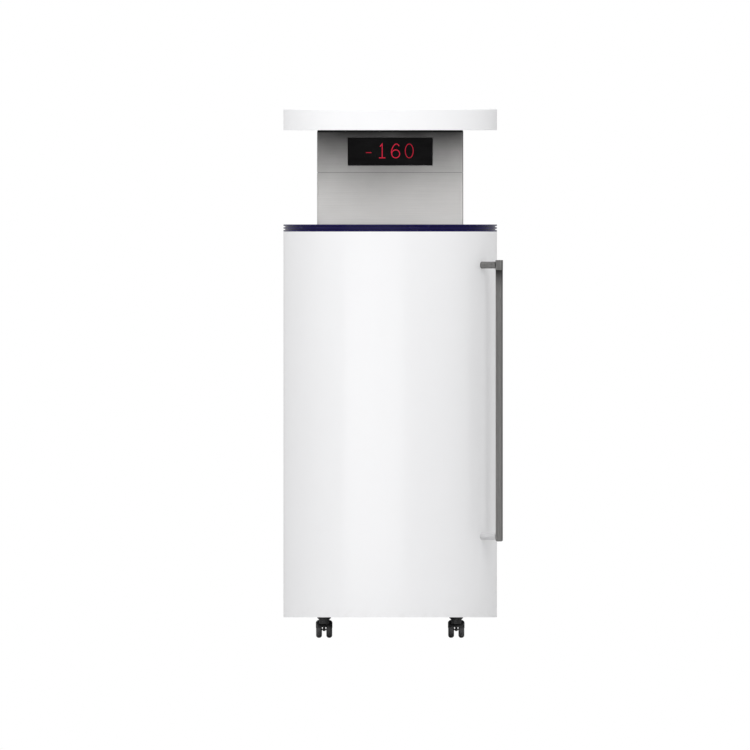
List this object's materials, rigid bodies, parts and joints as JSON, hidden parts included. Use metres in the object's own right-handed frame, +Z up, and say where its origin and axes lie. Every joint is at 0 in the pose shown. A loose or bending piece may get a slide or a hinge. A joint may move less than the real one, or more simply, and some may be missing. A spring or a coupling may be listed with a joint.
{
  "type": "liquid nitrogen dewar",
  "caption": "Tall round cabinet dewar on swivel casters: steel neck housing with temperature display, hinged round lid with insulating plug, and an upright grip bar.",
  "frame": {"origin": "on the floor, under the cabinet's vertical axis", "axes": "+Z up, -Y the front with the display, +X the side with the grip bar"},
  "size_m": [0.5243, 0.51, 1.263],
  "materials": {
    "white_paint": "gloss powder coat",
    "grey_paint": "satin",
    "navy_trim": "gloss",
    "brushed_steel": "horizontal brushed grain",
    "frame_steel": "satin",
    "screw_steel": "bright zinc",
    "bar_metal": "satin anodised",
    "vessel_metal": "mill finish, spun heads",
    "neck_laminate": "glass-fibre laminate",
    "insulation_foil": "crinkled foil layers",
    "adsorbent": "matt",
    "rack_metal": "satin sheet",
    "black_rubber": "matt",
    "screen_plastic": "gloss",
    "red_light": "lit",
    "board_laminate": "solder mask",
    "inlet_plastic": "matt",
    "plug_skin": "moulded",
    "foam": "closed-cell foam",
    "caster_steel": "zinc plated",
    "caster_hood": "fine-grained nylon",
    "caster_axle": "plain steel",
    "caster_tread": "polyurethane"
  },
  "bodies": {
    "root": {"base_plate": "grey_paint", "outer_shell": "white_paint", "trim_ring": "navy_trim", "top_deck": "white_paint", "deck_screws": "screw_steel", "vessel_pad": "black_rubber", "outer_vessel": "vessel_metal", "inner_vessel": "vessel_metal", "insulation_wrap": "insulation_foil", "adsorbent_pack": "adsorbent", "evacuation_valve": "vessel_metal", "neck_tube": "neck_laminate", "neck_flange": "vessel_metal", "neck_sleeve": "brushed_steel", "seam_frame": "frame_steel", "display_head": "brushed_steel", "mouth_collar": "grey_paint", "mouth_gasket": "black_rubber", "index_ring": "brushed_steel", "storage_racks": "rack_metal", "display_panel": "screen_plastic", "display_digits": "red_light", "display_board": "board_laminate", "power_inlet": "inlet_plastic", "temperature_probe": "rack_metal", "probe_cable": "black_rubber", "hinge_frame_leaves": "brushed_steel", "hinge_frame_screws": "screw_steel", "hinge_pins": "brushed_steel", "lid_stops": "black_rubber", "grip_bar": "bar_metal", "grip_block": "bar_metal", "grip_post_upper": "bar_metal", "grip_post_lower": "white_paint", "grip_screws": "screw_steel", "caster_mounts": "caster_steel", "caster_nuts": "screw_steel"},
    "lid": {"lid_cover": "white_paint", "lid_foam": "foam", "lid_base": "grey_paint", "lid_screws": "screw_steel", "neck_plug": "plug_skin", "plug_foam": "foam", "hinge_lid_leaves": "brushed_steel"},
    "caster_1": {"caster_1_fork": "caster_hood", "caster_1_axle": "caster_axle"},
    "caster_1_left_wheel": {"caster_1_wheel_left": "caster_tread"},
    "caster_1_right_wheel": {"caster_1_wheel_right": "caster_tread"},
    "caster_2": {"caster_2_fork": "caster_hood", "caster_2_axle": "caster_axle"},
    "caster_2_left_wheel": {"caster_2_wheel_left": "caster_tread"},
    "caster_2_right_wheel": {"caster_2_wheel_right": "caster_tread"},
    "caster_3": {"caster_3_fork": "caster_hood", "caster_3_axle": "caster_axle"},
    "caster_3_left_wheel": {"caster_3_wheel_left": "caster_tread"},
    "caster_3_right_wheel": {"caster_3_wheel_right": "caster_tread"},
    "caster_4": {"caster_4_fork": "caster_hood", "caster_4_axle": "caster_axle"},
    "caster_4_left_wheel": {"caster_4_wheel_left": "caster_tread"},
    "caster_4_right_wheel": {"caster_4_wheel_right": "caster_tread"}
  },
  "joints": [
    {"name": "lid_hinge", "type": "hinge", "parent": "root", "child": "lid", "pos_m": [0, 0.184, 1.204], "axis": [-1, 0, 0], "range_deg": [0, 95]},
    {"name": "caster_1_swivel", "type": "hinge", "parent": "root", "child": "caster_1", "pos_m": [-0.1577, -0.1577, 0], "axis": [0, 0, 1], "continuous": true},
    {"name": "caster_1_left_wheel_spin", "type": "hinge", "parent": "caster_1", "child": "caster_1_left_wheel", "pos_m": [-0.1577, -0.1437, 0.02], "axis": [1, 0, 0], "continuous": true},
    {"name": "caster_1_right_wheel_spin", "type": "hinge", "parent": "caster_1", "child": "caster_1_right_wheel", "pos_m": [-0.1577, -0.1437, 0.02], "axis": [1, 0, 0], "continuous": true},
    {"name": "caster_2_swivel", "type": "hinge", "parent": "root", "child": "caster_2", "pos_m": [0.1577, -0.1577, 0], "axis": [0, 0, 1], "continuous": true},
    {"name": "caster_2_left_wheel_spin", "type": "hinge", "parent": "caster_2", "child": "caster_2_left_wheel", "pos_m": [0.1577, -0.1437, 0.02], "axis": [1, 0, 0], "continuous": true},
    {"name": "caster_2_right_wheel_spin", "type": "hinge", "parent": "caster_2", "child": "caster_2_right_wheel", "pos_m": [0.1577, -0.1437, 0.02], "axis": [1, 0, 0], "continuous": true},
    {"name": "caster_3_swivel", "type": "hinge", "parent": "root", "child": "caster_3", "pos_m": [0.1577, 0.1577, 0], "axis": [0, 0, 1], "continuous": true},
    {"name": "caster_3_left_wheel_spin", "type": "hinge", "parent": "caster_3", "child": "caster_3_left_wheel", "pos_m": [0.1577, 0.1717, 0.02], "axis": [1, 0, 0], "continuous": true},
    {"name": "caster_3_right_wheel_spin", "type": "hinge", "parent": "caster_3", "child": "caster_3_right_wheel", "pos_m": [0.1577, 0.1717, 0.02], "axis": [1, 0, 0], "continuous": true},
    {"name": "caster_4_swivel", "type": "hinge", "parent": "root", "child": "caster_4", "pos_m": [-0.1577, 0.1577, 0], "axis": [0, 0, 1], "continuous": true},
    {"name": "caster_4_left_wheel_spin", "type": "hinge", "parent": "caster_4", "child": "caster_4_left_wheel", "pos_m": [-0.1577, 0.1717, 0.02], "axis": [1, 0, 0], "continuous": true},
    {"name": "caster_4_right_wheel_spin", "type": "hinge", "parent": "caster_4", "child": "caster_4_right_wheel", "pos_m": [-0.1577, 0.1717, 0.02], "axis": [1, 0, 0], "continuous": true}
  ]
}
